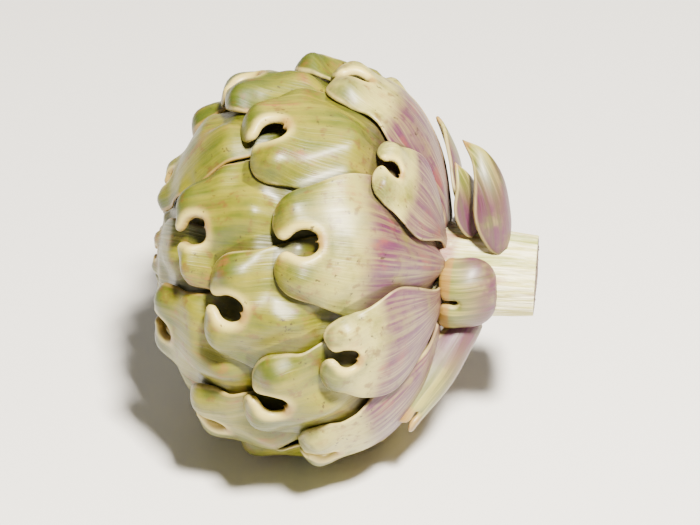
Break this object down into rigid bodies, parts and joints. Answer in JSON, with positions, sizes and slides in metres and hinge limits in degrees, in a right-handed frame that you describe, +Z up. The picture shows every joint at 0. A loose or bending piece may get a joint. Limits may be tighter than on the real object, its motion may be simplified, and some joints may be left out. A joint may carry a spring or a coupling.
{
  "type": "globe artichoke",
  "caption": "Whole globe artichoke lying on its side: a squat round head of overlapping notched fleshy bracts on a short cut stem.",
  "frame": {"origin": "on the surface that it lies on, under the middle of the whole artichoke", "axes": "+X along the stem towards its cut end, +Z up, the closed tip of the head towards -X"},
  "size_m": [0.0998, 0.107, 0.103],
  "materials": {
    "bract": "waxy satin",
    "collar_bract": "waxy satin, purple flush",
    "stem_flesh": "ridged, fibrous, dry brown cut",
    "young_bud": "matt"
  },
  "bodies": {
    "root": {"stem_and_heart": "stem_flesh", "bract_01": "bract", "bract_02": "bract", "bract_03": "bract", "bract_04": "bract", "bract_05": "bract", "bract_06": "bract", "bract_07": "bract", "bract_08": "bract", "bract_09": "bract", "bract_10": "bract", "bract_11": "bract", "bract_12": "bract", "bract_13": "bract", "bract_14": "bract", "bract_15": "bract", "bract_16": "bract", "bract_17": "bract", "bract_18": "bract", "bract_19": "bract", "bract_20": "bract", "bract_21": "bract", "bract_22": "bract", "bract_23": "bract", "bract_24": "bract", "bract_25": "bract", "bract_26": "bract", "bract_27": "bract", "bract_28": "bract", "bract_29": "bract", "bract_30": "bract", "bract_31": "bract", "bract_32": "bract", "bract_33": "bract", "bract_34": "bract", "bract_35": "bract", "bract_36": "bract", "bract_37": "bract", "bract_38": "bract", "bract_39": "bract", "bract_40": "bract", "collar_bract_1": "collar_bract", "collar_bract_2": "collar_bract", "collar_bract_3": "collar_bract", "collar_bract_4": "collar_bract", "collar_bract_5": "collar_bract", "collar_bract_6": "collar_bract", "collar_bract_7": "collar_bract", "inner_bud": "young_bud"}
  },
  "joints": []
}
